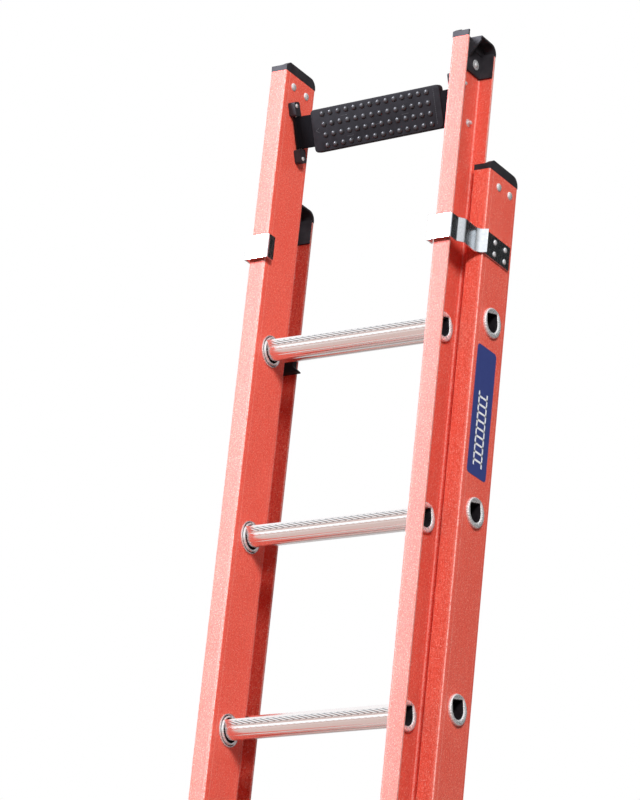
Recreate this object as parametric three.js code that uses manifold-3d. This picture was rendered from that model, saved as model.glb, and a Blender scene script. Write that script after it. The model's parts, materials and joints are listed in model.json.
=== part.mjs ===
// Extension ladder: two interlocking glass-fibre sections, in millimetres, +Z up.
//
// X runs across the ladder, Y runs from the climber's side to the wall side, and Z runs up the rails.
// The fly section stands in front and slides up on the base section. Its rails are channels that open
// outward; the base's rails are channels that open inward, so each fly rail's rear flange runs behind
// the front flange of a base rail. Heights are measured from the floor, and depths from the front face
// of the fly, until the finished assembly is centred over its origin at the end.

import * as THREE from "three";
import { mergeVertices } from "three/addons/utils/BufferGeometryUtils.js";
import Module from "manifold-3d";

const wasm = await Module();
wasm.setup();

// ---- driving dimensions -------------------------------------------------------------------------

const GAP = 0.3; // working clearance between neighbouring pieces
const RUNG_PITCH = 300;
const BASE_RUNGS = 9;
const FLY_RUNGS = 9;
const FLY_DROP = 25; // the closed fly's rungs hang this far below the base's rungs
const STEP_ANGLE = THREE.MathUtils.degToRad(15); // treads are level when the ladder leans at 75 degrees

const RAIL = { depth: 83, width: 28.5, wall: 4.5, length: 2984 };
const FLY_INNER = 150; // half the clear width between the fly's webs
const BASE_OUTER = 198; // half the width over the base's webs
const BASE_SETBACK = 64; // the base's front face, behind the fly's front face
const BASE_TOP = BASE_RUNGS * RUNG_PITCH + 237;
const FLY_TOP_RUNG = BASE_RUNGS * RUNG_PITCH - FLY_DROP;
const FLY_TOP = FLY_TOP_RUNG + 459;
const FLY_BOTTOM = FLY_TOP - RAIL.length;
const BASE_BOTTOM = 95;

const RUNG = { width: 32, height: 31, wall: 2.2, corner: 2, arcSegments: 4 };
const COLLAR = { radius: 25, crown: 20, inner: 5.5, outer: 3, segments: 10 };

const FLY_WEB_MIDDLE = RAIL.depth / 2;
const BASE_WEB_MIDDLE = BASE_SETBACK + RAIL.depth / 2;
const FLY_OUTER = FLY_INNER + RAIL.wall;
const BASE_INNER = BASE_OUTER - RAIL.wall;

const CAP = { rise: 16.5, front: 9.5, chamfer: 7, skin: 3, liner: 37, band: 9, notch: 38, lean: 3 };
CAP.rearRadius = 14;

const BOTTOM_CAP = { drop: 10 };

const BRACKET = { thickness: 2.5, height: 38, proud: 6.8, rightHeight: 2816, leftHeight: 2831 };

const FOOT = { pivotHeight: 55, eye: 20, plate: 4.8, cheek: 5, cheekEye: 16, boltRadius: 5.7 };
FOOT.plateTop = 236;
FOOT.ledge = { height: 5, reach: 18 };
FOOT.width = 45;
FOOT.length = 84;
FOOT.soleThickness = 8.7;
FOOT.centre = BASE_INNER - GAP - FOOT.plate / 2;

const STRAP = { tilt: THREE.MathUtils.degToRad(23), height: FLY_TOP_RUNG + 367, depth: 42.5 };
STRAP.pinX = 143.4;
STRAP.pinDepth = -2;
STRAP.pinRadius = 3;
STRAP.eyeWall = 2.2;
STRAP.lug = { reach: 12, front: -11.5, back: 3.5, low: 25.7, high: 48, corner: 3.5 };
STRAP.lugTab = { reach: 9, back: 9, height: 8 };
STRAP.webbing = 50;
STRAP.padWidth = 234;
STRAP.padHeight = 68;
STRAP.padThickness = 12;
STRAP.padDepth = 3;
STRAP.bandThickness = 4;

const LOCK = { rung: 2, idle: 40, pivotDepth: 52, pivotRise: 76, pinRadius: 4, eye: 12, bridge: 18 };
LOCK.bearing = 0.4;
LOCK.seat = LOCK.rung * RUNG_PITCH + LOCK.idle; // the closed fly's hooks hang this far above a rung
LOCK.pivotHeight = LOCK.seat + LOCK.pivotRise;
LOCK.plate = [144, FLY_INNER - GAP];
LOCK.cheek = [118, 122];
LOCK.hook = [128, 140];
LOCK.tongue = [140.4, 143.6];
LOCK.tonguePivot = [BASE_WEB_MIDDLE + 24, LOCK.seat + 19];
LOCK.tongueDrop = 16;

const LABEL = { width: 54, height: 203, corner: 6, thickness: 0.6, middle: FLY_TOP_RUNG - 119 };

// ---- materials ----------------------------------------------------------------------------------

const FIBREGLASS = { color: 0xe4553f, roughness: 0.55, metalness: 0 };
const ALUMINIUM = { color: 0xd2d2d4, roughness: 0.3, metalness: 1 };
const ZINC_STEEL = { color: 0xb9bcc0, roughness: 0.35, metalness: 1 };
const BLACK_PLASTIC = { color: 0x222024, roughness: 0.6, metalness: 0 };
const BLACK_RUBBER = { color: 0x333136, roughness: 0.75, metalness: 0 };
const BLACK_WEBBING = { color: 0x1c1b1f, roughness: 0.9, metalness: 0 };
const LABEL_BLUE = { color: 0x2f3f7d, roughness: 0.4, metalness: 0 };

// ---- helpers ------------------------------------------------------------------------------------

function toSolid(geometry) {
  const bare = geometry.clone();
  bare.deleteAttribute("normal");
  bare.deleteAttribute("uv");
  const merged = mergeVertices(bare, 1e-4);
  const vertProperties = new Float32Array(merged.attributes.position.array);
  const triVerts = new Uint32Array(merged.index.array);
  return new wasm.Manifold(new wasm.Mesh({ numProp: 3, vertProperties, triVerts }));
}

function toGeometry(solid) {
  const mesh = solid.getMesh();
  const geometry = new THREE.BufferGeometry();
  geometry.setAttribute("position", new THREE.BufferAttribute(new Float32Array(mesh.vertProperties), 3));
  geometry.setIndex(new THREE.BufferAttribute(new Uint32Array(mesh.triVerts), 1));
  geometry.computeVertexNormals();
  return geometry;
}

function join(...geometries) {
  return toGeometry(geometries.map(toSolid).reduce((whole, next) => whole.add(next)));
}

function cut(body, ...tools) {
  return toGeometry(tools.map(toSolid).reduce((rest, tool) => rest.subtract(tool), toSolid(body)));
}

function mirrorX(geometry) {
  const turned = mergeVertices(geometry).applyMatrix4(new THREE.Matrix4().makeScale(-1, 1, 1));
  const order = turned.index.array;
  for (let corner = 0; corner < order.length; corner += 3) {
    [order[corner], order[corner + 1]] = [order[corner + 1], order[corner]];
  }
  return turned;
}

function box([x0, x1], [y0, y1], [z0, z1]) {
  const block = new THREE.BoxGeometry(x1 - x0, y1 - y0, z1 - z0);
  return block.translate((x0 + x1) / 2, (y0 + y1) / 2, (z0 + z1) / 2);
}

function shapeOf(points) {
  return new THREE.Shape(points.map(([u, v]) => new THREE.Vector2(u, v)));
}

// A shape drawn in (X, Y), run up Z.
function extrudeZ(shape, [z0, z1], curveSegments = 6) {
  const body = new THREE.ExtrudeGeometry(shape, { depth: z1 - z0, bevelEnabled: false, curveSegments });
  return body.translate(0, 0, z0);
}

// A shape drawn in (Y, Z), run along X.
function extrudeX(shape, [x0, x1], curveSegments = 6) {
  const body = new THREE.ExtrudeGeometry(shape, { depth: x1 - x0, bevelEnabled: false, curveSegments });
  const axes = [new THREE.Vector3(0, 1, 0), new THREE.Vector3(0, 0, 1), new THREE.Vector3(1, 0, 0)];
  return body.applyMatrix4(new THREE.Matrix4().makeBasis(...axes)).translate(x0, 0, 0);
}

// A shape drawn in (X, Z), run along Y.
function extrudeY(shape, [y0, y1]) {
  const body = new THREE.ExtrudeGeometry(shape, { depth: y1 - y0, bevelEnabled: false });
  return body.rotateX(Math.PI / 2).translate(0, y1, 0);
}

// A round bar or cone along X.
function barX([x0, x1], [y, z], startRadius, endRadius = startRadius, segments = 16) {
  const bar = new THREE.CylinderGeometry(endRadius, startRadius, x1 - x0, segments);
  return bar.rotateZ(-Math.PI / 2).translate((x0 + x1) / 2, y, z);
}

// A round bar up Z.
function barZ([z0, z1], [x, y], radius, segments = 16) {
  const bar = new THREE.CylinderGeometry(radius, radius, z1 - z0, segments);
  return bar.rotateX(Math.PI / 2).translate(x, y, (z0 + z1) / 2);
}

// The outline of a bent strip: its centre line moved half a thickness to each side.
function stripOutline(centres, thickness) {
  const along = (from, to) => to.clone().sub(from).normalize();
  const edge = (side) =>
    centres.map((centre, i) => {
      const before = i > 0 ? along(centres[i - 1], centre) : along(centre, centres[i + 1]);
      const after = i < centres.length - 1 ? along(centre, centres[i + 1]) : before;
      const mean = before.clone().add(after).normalize();
      const reach = (side * thickness) / 2 / mean.dot(before);
      return new THREE.Vector2(centre.x - mean.y * reach, centre.y + mean.x * reach);
    });
  return new THREE.Shape([...edge(1), ...edge(-1).reverse()]);
}

function piece(name, geometry, look, position = [0, 0, 0]) {
  const mesh = new THREE.Mesh(geometry, new THREE.MeshStandardMaterial(look));
  mesh.name = name;
  mesh.position.set(...position);
  return mesh;
}

// Adds a right-hand piece as drawn, and its mirror image on the left.
function pair(group, name, geometry, look, [x, y, z] = [0, 0, 0]) {
  group.add(piece(`${name}_right`, geometry, look, [x, y, z]));
  group.add(piece(`${name}_left`, mirrorX(geometry), look, [-x, y, z]));
}

// ---- rails and rungs ----------------------------------------------------------------------------

// The rung's D section about its centre, turned so that its flat tread faces up and a little forward.
function rungSection(grow) {
  const half = RUNG.width / 2 + grow;
  const top = RUNG.height / 2 + grow;
  const arcCentre = half - RUNG.height / 2 - grow;
  const outline = new THREE.Path();
  outline.moveTo(half - RUNG.corner, top);
  outline.lineTo(-half + RUNG.corner, top);
  outline.lineTo(-half, top - RUNG.corner);
  outline.lineTo(-half, arcCentre);
  outline.absarc(0, arcCentre, half, Math.PI, 2 * Math.PI, false);
  outline.lineTo(half, top - RUNG.corner);
  const turn = (point) => point.rotateAround(new THREE.Vector2(), STEP_ANGLE);
  return outline.getPoints(RUNG.arcSegments).map(turn);
}

function rungGeometry(innerFace, outerFace) {
  const end = outerFace + COLLAR.outer;
  const tube = extrudeX(new THREE.Shape(rungSection(0)), [-end, end]);
  const collars = [1, -1].flatMap((side) => {
    const outside = [outerFace + GAP, end];
    const inside = [innerFace - GAP - COLLAR.inner, innerFace - GAP];
    const wide = COLLAR.radius;
    const narrow = COLLAR.crown;
    const drawn = [
      barX(outside, [0, 0], wide, narrow, COLLAR.segments),
      barX(inside, [0, 0], narrow, wide, COLLAR.segments),
    ];
    return side > 0 ? drawn : drawn.map(mirrorX);
  });
  const bore = extrudeX(new THREE.Shape(rungSection(-RUNG.wall)), [-end - 1, end + 1]);
  return cut(join(tube, ...collars), bore);
}

// A rail with its web at X 0 and its flanges towards +X, with a D hole for every rung.
function railGeometry(length, rungHeights) {
  const { depth, width, wall } = RAIL;
  const section = shapeOf([
    [0, 0],
    [width, 0],
    [width, wall],
    [wall, wall],
    [wall, depth - wall],
    [width, depth - wall],
    [width, depth],
    [0, depth],
  ]);
  const hole = extrudeX(new THREE.Shape(rungSection(GAP)), [-1, wall + 1]);
  const holes = rungHeights.map((height) => hole.clone().translate(0, depth / 2, height));
  return cut(extrudeZ(section, [0, length]), ...holes);
}

function rungHeights(top, count) {
  return Array.from({ length: count }, (_, i) => top - (count - 1 - i) * RUNG_PITCH);
}

function addRungs(group, section, heights, depth, innerFace, outerFace) {
  heights.forEach((height, i) => {
    const geometry = rungGeometry(innerFace, outerFace);
    group.add(piece(`${section}_rung_${i + 1}`, geometry, ALUMINIUM, [0, depth, height]));
  });
}

// ---- end caps -----------------------------------------------------------------------------------

// The moulded cap's arched profile in (Y, Z), over the rail's top end.
function capProfile(inset) {
  const rear = RAIL.depth - inset;
  const top = CAP.rise - inset;
  const radius = CAP.rearRadius - inset;
  const outline = new THREE.Shape();
  outline.moveTo(inset, GAP);
  outline.lineTo(rear, GAP);
  outline.lineTo(rear, top - radius);
  outline.absarc(rear - radius, top - radius, radius, 0, Math.PI / 2, false);
  outline.lineTo(CAP.chamfer, top);
  outline.lineTo(inset, CAP.front);
  return outline;
}

// A top cap in the rail's own frame, with Z 0 at the rail's end. The middle of its open side is left
// free for the other section's flange.
function topCapGeometry() {
  const { width, depth, wall } = RAIL;
  const { skin, liner, band, notch } = CAP;
  const inside = wall + GAP;
  const webBand = extrudeX(capProfile(0), [0, band]);
  const arch = extrudeX(capProfile(0), [band - 1, width]);
  const hollow = extrudeX(capProfile(skin), [band, width + 1]);
  const below = box([band, width + 1], [notch + skin, depth - skin], [-1, 1]);
  const front = box([band, width + 1], [-1, notch], [-1, CAP.rise + 1]);
  const hood = cut(arch, hollow, below, front);
  const flap = extrudeY(
    shapeOf([
      [0, GAP],
      [width - 1, GAP],
      [width, CAP.front],
      [CAP.lean, CAP.front],
    ]),
    [0, skin]
  );
  const gusset = extrudeY(
    shapeOf([
      [inside, -liner / 2],
      [inside + skin, -liner / 2],
      [width, CAP.rise - 1],
      [inside, CAP.rise - 1],
    ]),
    [notch, notch + skin]
  );
  const webLiner = box([inside, inside + skin], [inside, depth - inside], [-liner, CAP.front]);
  const rearLiner = box([inside, width], [depth - inside - skin, depth - inside], [-liner, CAP.front]);
  const frontLiner = box([inside, width - skin], [inside - 2, inside + skin], [GAP, CAP.front - 1]);
  const frontTongue = box([inside, width - skin], [inside, inside + skin], [-liner / 2, CAP.front - 1]);
  return join(webBand, hood, flap, gusset, webLiner, rearLiner, frontLiner, frontTongue);
}

// A bottom plug in the rail's own frame, with Z 0 at the rail's end and a slot for the base's flange.
function bottomCapGeometry() {
  const { width, depth, wall } = RAIL;
  const inside = wall + GAP;
  const slot = [BASE_SETBACK - 4, BASE_SETBACK + wall + 4];
  const slotDepth = BASE_OUTER - RAIL.width - FLY_INNER - 3;
  const sole = shapeOf([
    [0, 0],
    [width, 0],
    [width, slot[0]],
    [slotDepth, slot[0]],
    [slotDepth, slot[1]],
    [width, slot[1]],
    [width, depth],
    [0, depth],
  ]);
  const plate = extrudeZ(sole, [-BOTTOM_CAP.drop, -GAP]);
  const liner = box([inside, inside + CAP.skin], [inside, slot[0]], [-1, CAP.liner]);
  return join(plate, liner);
}

// ---- brackets between the sections --------------------------------------------------------------

// The bent strip that is riveted to the base's web and wraps round the fly's front flange.
function guideBracketGeometry() {
  const half = BRACKET.thickness / 2;
  const front = -BRACKET.proud;
  const base = BASE_SETBACK - GAP - half;
  const side = BASE_OUTER + GAP + half;
  const lip = FLY_INNER - 7;
  const edge = FLY_INNER + RAIL.width + 4.3;
  const line = new THREE.Path();
  line.moveTo(lip, 9);
  line.lineTo(lip, front);
  line.lineTo(edge, front);
  line.lineTo(edge, 9);
  line.quadraticCurveTo(edge, 14, edge + 5, 18);
  line.quadraticCurveTo(edge + 8.4, 21, edge + 7.6, 27);
  line.lineTo(edge + 6, 45);
  line.quadraticCurveTo(edge + 6, base, edge + 13, base);
  line.lineTo(side, base);
  line.lineTo(side, BASE_SETBACK + RAIL.depth - 10);
  const reach = BRACKET.height / 2;
  return extrudeZ(stripOutline(line.getPoints(4), BRACKET.thickness), [-reach, reach]);
}

// The nylon block that keeps the fly's rear flange away from the base's web.
function guideBlockGeometry() {
  const web = BASE_INNER - GAP;
  const rear = BASE_SETBACK + RAIL.depth - RAIL.wall - GAP;
  const outline = shapeOf([
    [web, -16],
    [web, 16],
    [web - 24, 16],
    [web - 24, -6],
    [web - 33, -14],
    [web - 33, -16],
  ]);
  return extrudeY(outline, [rear - 11, rear]);
}

// ---- feet ---------------------------------------------------------------------------------------

// The plate inside the base rail that carries the shoe, with a ledge that the closed fly rests on.
function footBracketGeometry() {
  const { pivotHeight, eye, plate, plateTop, ledge, boltRadius } = FOOT;
  const front = BASE_WEB_MIDDLE - 33;
  const rear = BASE_WEB_MIDDLE + 25;
  const outline = new THREE.Shape();
  outline.moveTo(rear, plateTop);
  outline.lineTo(front, plateTop);
  outline.lineTo(front, pivotHeight + 60);
  outline.lineTo(BASE_WEB_MIDDLE - eye, pivotHeight + 20);
  outline.lineTo(BASE_WEB_MIDDLE - eye, pivotHeight);
  outline.absarc(BASE_WEB_MIDDLE, pivotHeight, eye, Math.PI, 2 * Math.PI, false);
  outline.lineTo(BASE_WEB_MIDDLE + eye, pivotHeight + 20);
  outline.lineTo(rear, pivotHeight + 60);
  const outer = BASE_INNER - GAP;
  const body = extrudeX(outline, [outer - plate, outer]);
  const shelf = FLY_BOTTOM - BOTTOM_CAP.drop - GAP;
  const tread = box([160, outer - 1], [front, front + ledge.reach], [shelf - ledge.height, shelf]);
  const bore = barX([outer - plate - 1, outer + 1], [BASE_WEB_MIDDLE, pivotHeight], boltRadius + GAP);
  return cut(join(body, tread), bore);
}

function cheekShape() {
  const { cheekEye, soleThickness, pivotHeight } = FOOT;
  const floor = soleThickness + GAP + 1 - pivotHeight;
  const outline = new THREE.Shape();
  outline.moveTo(-30, floor);
  outline.lineTo(30, floor);
  outline.lineTo(cheekEye, 0);
  outline.absarc(0, 0, cheekEye, 0, Math.PI, false);
  return outline;
}

// The swivelling shoe about its pivot: two cheeks, a plate, and spurs along its toe.
function shoeGeometry() {
  const { cheek, plate, length, width, soleThickness, pivotHeight, boltRadius } = FOOT;
  const inner = plate / 2 + 0.5;
  const cheeks = [
    extrudeX(cheekShape(), [inner, inner + cheek]),
    extrudeX(cheekShape(), [-inner - cheek, -inner]),
  ];
  const floor = soleThickness + GAP - pivotHeight;
  const half = width / 2;
  const toe = length / 2;
  const spurs = [-half, -half / 2, 0, half / 2, half];
  const outline = [[-half, toe - 6], [-half, -toe], [half, -toe], [half, toe - 6]];
  for (let i = spurs.length - 1; i > 0; i -= 1) {
    outline.push([(spurs[i] + spurs[i - 1]) / 2, toe]);
    if (i > 1) {
      outline.push([spurs[i - 1], toe - 6]);
    }
  }
  const base = extrudeZ(shapeOf(outline), [floor, floor + cheek]);
  const bore = barX([-half, half], [0, 0], boltRadius + GAP);
  return cut(join(base, ...cheeks), bore);
}

function soleGeometry() {
  const { length, width, soleThickness, pivotHeight } = FOOT;
  const half = width / 2 + 1;
  const reach = length / 2 - 6;
  const slab = box([-half, half], [-length / 2 - 2, reach], [-pivotHeight, soleThickness - pivotHeight]);
  const grooves = [-30, -15, 0, 15].map((y) =>
    box([-half - 1, half + 1], [y, y + 3], [-pivotHeight - 1, 3 - pivotHeight])
  );
  return cut(slab, ...grooves);
}

function footBoltGeometry() {
  const { plate, cheek, boltRadius } = FOOT;
  const grip = plate / 2 + cheek + 1;
  const shank = barX([-grip, grip], [0, 0], boltRadius);
  const head = barX([grip - 0.2, grip + 5], [0, 0], 9, 9, 6);
  const nut = barX([-grip - 5, -grip + 0.2], [0, 0], 9, 9, 6);
  return join(shank, head, nut);
}

// ---- pole strap ---------------------------------------------------------------------------------

// One lug, in the strap's tilted frame, for the upper end of the right-hand pin.
function strapLugGeometry() {
  const face = FLY_INNER - GAP;
  const { pinX, pinDepth, pinRadius, lug, lugTab } = STRAP;
  const middle = [(lug.front + lug.back) / 2, (lug.low + lug.high) / 2];
  const outline = roundedPlate(lug.back - lug.front, lug.high - lug.low, lug.corner);
  const block = extrudeX(outline, [face - lug.reach, face], 4).translate(0, ...middle);
  const tabRise = [lug.low, lug.low + lugTab.height];
  const tab = box([face - lugTab.reach, face], [lug.back - 1, lugTab.back], tabRise);
  const bore = barZ([lug.low - 1, 45], [pinX, pinDepth], pinRadius + GAP);
  return cut(join(block, tab), bore);
}

function strapPinGeometry() {
  return barZ([-44.5, 44.5], [0, 0], STRAP.pinRadius);
}

// The webbing: an eye round each pin, and a double band that runs back to the pad's plane.
function webbingGeometry() {
  const { pinX, pinDepth, pinRadius, eyeWall, padDepth, padWidth, bandThickness, webbing } = STRAP;
  const reach = webbing / 2;
  const knee = padWidth / 2 - 2;
  const line = [
    [-pinX + 4, pinDepth + 2],
    [-knee, padDepth],
    [knee, padDepth],
    [pinX - 4, pinDepth + 2],
  ].map(([x, y]) => new THREE.Vector2(x, y));
  const band = extrudeZ(stripOutline(line, bandThickness), [-reach, reach]);
  const eyes = [-pinX, pinX].map((x) => barZ([-reach, reach], [x, pinDepth], pinRadius + eyeWall));
  const bores = [-pinX, pinX].map((x) => barZ([-reach - 1, reach + 1], [x, pinDepth], pinRadius + GAP));
  return cut(join(band, ...eyes), ...bores);
}

function roundedPlate(width, height, corner) {
  const plate = new THREE.Shape();
  const [x, y] = [width / 2, height / 2];
  plate.moveTo(-x + corner, -y);
  plate.absarc(x - corner, -y + corner, corner, -Math.PI / 2, 0, false);
  plate.absarc(x - corner, y - corner, corner, 0, Math.PI / 2, false);
  plate.absarc(-x + corner, y - corner, corner, Math.PI / 2, Math.PI, false);
  plate.absarc(-x + corner, -y + corner, corner, Math.PI, 1.5 * Math.PI, false);
  return plate;
}

// The rubber sleeve round the webbing.
function padGeometry() {
  const { padWidth, padHeight, padThickness, padDepth, bandThickness, webbing } = STRAP;
  const body = new THREE.ExtrudeGeometry(roundedPlate(padWidth, padHeight, 6), {
    depth: padThickness,
    bevelEnabled: false,
    curveSegments: 4,
  });
  body.rotateX(Math.PI / 2).translate(0, padDepth + padThickness / 2, 0);
  const clear = bandThickness / 2 + 2 * GAP;
  const reach = webbing / 2 + GAP;
  const slot = box([-padWidth, padWidth], [padDepth - clear, padDepth + clear], [-reach, reach]);
  const mouth = (side) => {
    const edge = padWidth / 2;
    const flare = shapeOf([
      [side * (edge - 6), padDepth + clear],
      [side * (edge - 6), padDepth - clear],
      [side * (edge + 1), padDepth - padThickness],
      [side * (edge + 1), padDepth + clear],
    ]);
    return extrudeZ(flare, [-reach, reach]);
  };
  return cut(body, slot, mouth(1), mouth(-1));
}

function strapGroup() {
  const group = new THREE.Group();
  const { pinX, pinDepth } = STRAP;
  const lug = strapLugGeometry();
  const lower = lug.clone().rotateY(Math.PI);
  pair(group, "strap_lug_upper", lug, BLACK_PLASTIC);
  group.add(piece("strap_lug_lower_left", lower, BLACK_PLASTIC));
  group.add(piece("strap_lug_lower_right", mirrorX(lower), BLACK_PLASTIC));
  pair(group, "strap_pin", strapPinGeometry(), ZINC_STEEL, [pinX, pinDepth, 0]);
  group.add(piece("strap_webbing", webbingGeometry(), BLACK_WEBBING));
  group.add(piece("strap_pad", padGeometry(), BLACK_RUBBER));
  group.position.set(0, STRAP.depth, STRAP.height);
  group.rotation.x = STRAP.tilt;
  return group;
}

// ---- rung locks ---------------------------------------------------------------------------------

const LOCK_PIVOT = [LOCK.pivotDepth, LOCK.pivotHeight];

function lockBodyGeometry() {
  const [y, z] = LOCK_PIVOT;
  const sides = [y - 16, y + 18];
  const wall = box(LOCK.plate, sides, [z - 16, z + 24]);
  const cheek = box(LOCK.cheek, sides, [z - 16, z + 24]);
  const bridge = box([LOCK.cheek[0], LOCK.plate[1]], sides, [z + LOCK.bridge, z + 24]);
  const bore = barX([LOCK.cheek[0] - 1, LOCK.plate[1] + 1], LOCK_PIVOT, LOCK.pinRadius + GAP);
  return cut(join(wall, cheek, bridge), bore);
}

function lockPinGeometry() {
  const shank = barX([LOCK.cheek[0] - 2, LOCK.plate[1] - GAP], LOCK_PIVOT, LOCK.pinRadius);
  const head = barX([LOCK.cheek[0] - 5, LOCK.cheek[0] - GAP], LOCK_PIVOT, 7);
  return join(shank, head);
}

// The hook's side view: an arm from the pin, a stop horn under the bridge, and a jaw over a base rung.
function hookShape() {
  const [y, z] = LOCK_PIVOT;
  const [rungY, rungZ] = [BASE_WEB_MIDDLE, LOCK.seat];
  const treadAt = (offset) => {
    const rise = RUNG.height / 2 / Math.cos(STEP_ANGLE) + offset * Math.tan(STEP_ANGLE);
    return [rungY + offset, rungZ + rise + LOCK.bearing];
  };
  const outline = new THREE.Shape();
  outline.moveTo(y - 1, z + LOCK.bridge - GAP);
  outline.lineTo(y + 12, z + LOCK.bridge - GAP);
  outline.lineTo(rungY + 29, rungZ + 30);
  outline.lineTo(rungY + 29, rungZ + 10);
  outline.lineTo(rungY + 19, rungZ + 10);
  outline.lineTo(...treadAt(17));
  outline.lineTo(...treadAt(-20));
  outline.lineTo(y + 14, rungZ + 22);
  outline.lineTo(y - LOCK.eye, z - 2);
  outline.absarc(y, z, LOCK.eye, Math.PI, 0.6 * Math.PI, true);
  return outline;
}

function lockHookGeometry() {
  const body = extrudeX(hookShape(), LOCK.hook, 8);
  const reach = [LOCK.hook[0] - 1, LOCK.hook[1] + 1];
  const bore = barX(reach, LOCK_PIVOT, LOCK.pinRadius + GAP);
  const socket = barX(reach, LOCK.tonguePivot, 3.3, 3.3, 12);
  return cut(body, bore, socket);
}

// The free finger that hangs from the hook's tip and closes its jaw.
function lockTongueGeometry() {
  const [y, z] = LOCK.tonguePivot;
  const outline = new THREE.Shape();
  outline.moveTo(y - 5, z);
  outline.lineTo(y - 4, z - LOCK.tongueDrop + 3);
  outline.lineTo(y, z - LOCK.tongueDrop);
  outline.lineTo(y + 5, z - LOCK.tongueDrop);
  outline.lineTo(y + 5, z);
  outline.absarc(y, z, 5, 0, Math.PI, false);
  const finger = extrudeX(outline, LOCK.tongue, 8);
  const trunnion = barX([LOCK.hook[0] + 1, LOCK.tongue[0] + 1], LOCK.tonguePivot, 3, 3, 12);
  return join(finger, trunnion);
}

class SpringCurve extends THREE.Curve {
  constructor(turns, radius, pitch) {
    super();
    Object.assign(this, { turns, radius, pitch });
  }

  getPoint(t, target = new THREE.Vector3()) {
    const angle = 2 * Math.PI * this.turns * t;
    const along = this.pitch * this.turns * t;
    return target.set(along, this.radius * Math.cos(angle), this.radius * Math.sin(angle));
  }
}

function lockSpringGeometry() {
  const wire = 0.8;
  const curve = new SpringCurve(2.25, 7, 1.7);
  const section = new THREE.Shape().absarc(0, 0, wire, 0, 2 * Math.PI, false);
  const coil = new THREE.ExtrudeGeometry(section, { steps: 36, extrudePath: curve, curveSegments: 3 });
  return coil.translate(LOCK.cheek[1] + wire + 0.2, ...LOCK_PIVOT);
}

// ---- assembly -----------------------------------------------------------------------------------

function baseSection() {
  const group = new THREE.Group();
  const heights = rungHeights(BASE_RUNGS * RUNG_PITCH, BASE_RUNGS);
  const rail = railGeometry(
    BASE_TOP - BASE_BOTTOM,
    heights.map((height) => height - BASE_BOTTOM)
  );
  pair(group, "base_rail", mirrorX(rail), FIBREGLASS, [BASE_OUTER, BASE_SETBACK, BASE_BOTTOM]);
  addRungs(group, "base", heights, BASE_WEB_MIDDLE, BASE_INNER, BASE_OUTER);
  const cap = mirrorX(topCapGeometry());
  pair(group, "base_cap", cap, BLACK_PLASTIC, [BASE_OUTER, BASE_SETBACK, BASE_TOP]);
  const bracket = guideBracketGeometry();
  group.add(piece("guide_bracket_right", bracket, ZINC_STEEL, [0, 0, BRACKET.rightHeight]));
  group.add(piece("guide_bracket_left", mirrorX(bracket), ZINC_STEEL, [0, 0, BRACKET.leftHeight]));
  pair(group, "guide_block", guideBlockGeometry(), BLACK_PLASTIC, [0, 0, FLY_TOP_RUNG + 20]);
  pair(group, "foot_bracket", footBracketGeometry(), ALUMINIUM);
  const pivot = [FOOT.centre, BASE_WEB_MIDDLE, FOOT.pivotHeight];
  pair(group, "foot_bolt", footBoltGeometry(), ZINC_STEEL, pivot);
  group.add(labelPiece());
  return group;
}

function labelPiece() {
  const outline = roundedPlate(LABEL.width, LABEL.height, LABEL.corner);
  const sheet = extrudeZ(outline, [0, LABEL.thickness], 3).rotateX(Math.PI / 2).rotateZ(Math.PI / 2);
  return piece("label", sheet, LABEL_BLUE, [BASE_OUTER + GAP, BASE_WEB_MIDDLE - 4, LABEL.middle]);
}

function flySection() {
  const group = new THREE.Group();
  const heights = rungHeights(FLY_TOP_RUNG, FLY_RUNGS);
  const rail = railGeometry(
    RAIL.length,
    heights.map((height) => height - FLY_BOTTOM)
  );
  pair(group, "fly_rail", rail, FIBREGLASS, [FLY_INNER, 0, FLY_BOTTOM]);
  addRungs(group, "fly", heights, FLY_WEB_MIDDLE, FLY_INNER, FLY_OUTER);
  pair(group, "fly_cap", topCapGeometry(), BLACK_PLASTIC, [FLY_INNER, 0, FLY_TOP]);
  pair(group, "fly_bottom_cap", bottomCapGeometry(), BLACK_PLASTIC, [FLY_INNER, 0, FLY_BOTTOM]);
  group.add(strapGroup());
  pair(group, "lock_body", lockBodyGeometry(), ALUMINIUM);
  pair(group, "lock_pin", lockPinGeometry(), ZINC_STEEL);
  pair(group, "lock_spring", lockSpringGeometry(), ZINC_STEEL);
  pair(group, "lock_hook", lockHookGeometry(), ALUMINIUM);
  pair(group, "lock_tongue", lockTongueGeometry(), ALUMINIUM);
  return group;
}

function feet() {
  const group = new THREE.Group();
  const pivot = [FOOT.centre, BASE_WEB_MIDDLE, FOOT.pivotHeight];
  pair(group, "foot_shoe", shoeGeometry(), ALUMINIUM, pivot);
  pair(group, "foot_sole", soleGeometry(), BLACK_RUBBER, pivot);
  return group;
}

const ladder = new THREE.Group();
ladder.add(baseSection(), flySection(), feet());

const bounds = new THREE.Box3().setFromObject(ladder, true);
const middle = bounds.getCenter(new THREE.Vector3());
ladder.position.set(-middle.x, -middle.y, -bounds.min.z);

export default ladder;
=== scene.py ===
"""Extension ladder: the looks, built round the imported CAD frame.

The making works in the CAD source's own millimetres: X across the ladder, Y back from the front face of
the fly section, Z up from the floor. row() turns such a point into the row frame, in metres.
"""
import json
import math

import bmesh
import bpy
from mathutils import Matrix, Vector

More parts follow.
